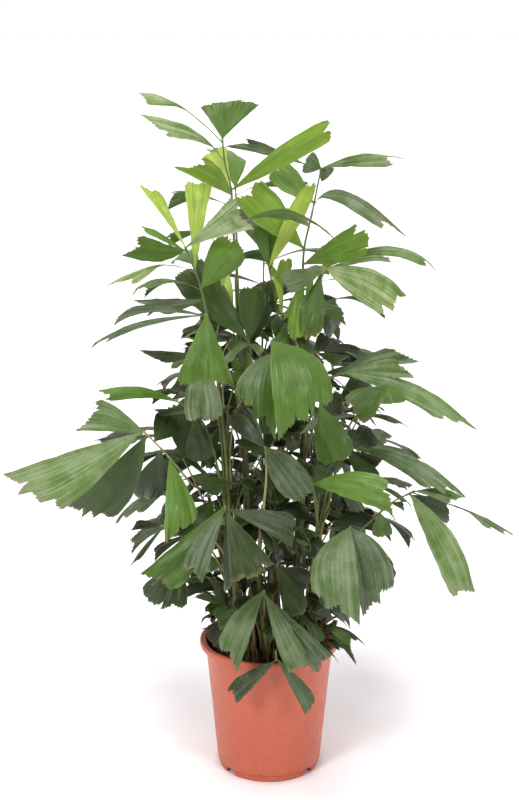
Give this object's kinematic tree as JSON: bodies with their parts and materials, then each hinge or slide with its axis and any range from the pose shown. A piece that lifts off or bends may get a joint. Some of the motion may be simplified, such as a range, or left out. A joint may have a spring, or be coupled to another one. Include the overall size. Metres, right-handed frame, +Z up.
{
  "type": "potted fishtail palm",
  "caption": "Bushy clumping palm with fishtail leaflets: thin upright canes with arching fronds of ragged wedge leaflets, standing in a round terracotta-coloured nursery pot of peat.",
  "frame": {"origin": "middle of the pot's flat underside, on the floor", "axes": "+Z up the plant, -Y towards the side that the picture shows, +X to the right of that view"},
  "size_m": [0.8374, 0.7447, 1.156],
  "materials": {
    "terracotta_plastic": "satin",
    "peat": "rough",
    "cane": "satin",
    "leaf": "satin"
  },
  "bodies": {
    "root": {"cane_back": "cane", "cane_back_left": "cane", "cane_back_right": "cane", "cane_far_left": "cane", "cane_far_right": "cane", "cane_front": "cane", "cane_left": "cane", "cane_middle": "cane", "cane_right": "cane", "cane_tall": "cane", "frond_back_crown": "leaf", "frond_back_foot": "leaf", "frond_back_high_left": "leaf", "frond_back_high_right": "leaf", "frond_back_low": "leaf", "frond_back_low_left": "leaf", "frond_back_low_right": "leaf", "frond_back_mid": "leaf", "frond_back_mid_left": "leaf", "frond_back_mid_right": "leaf", "frond_back_top": "leaf", "frond_back_upper": "leaf", "frond_back_upper_left": "leaf", "frond_back_upper_right": "leaf", "frond_centre_bright": "leaf", "frond_crown": "leaf", "frond_dark_centre": "leaf", "frond_far_left": "leaf", "frond_far_right": "leaf", "frond_front_dark": "leaf", "frond_front_left": "leaf", "frond_front_low": "leaf", "frond_left_dark": "leaf", "frond_left_fan": "leaf", "frond_left_inner": "leaf", "frond_left_low_fan": "leaf", "frond_left_wisps": "leaf", "frond_low_left": "leaf", "frond_middle_fans": "leaf", "frond_middle_grey": "leaf", "frond_right_bright": "leaf", "frond_right_dark": "leaf", "frond_right_fans": "leaf", "frond_right_grey": "leaf", "frond_right_hub": "leaf", "frond_right_inner": "leaf", "frond_right_middle": "leaf", "frond_right_spread": "leaf", "frond_rim_pair": "leaf", "frond_rim_sprout_left": "leaf", "frond_rim_sprout_right": "leaf", "frond_side_left": "leaf", "frond_side_right": "leaf", "frond_spear": "leaf", "frond_upper_left": "leaf", "frond_upper_right": "leaf", "pot": "terracotta_plastic", "soil": "peat"}
  },
  "joints": []
}
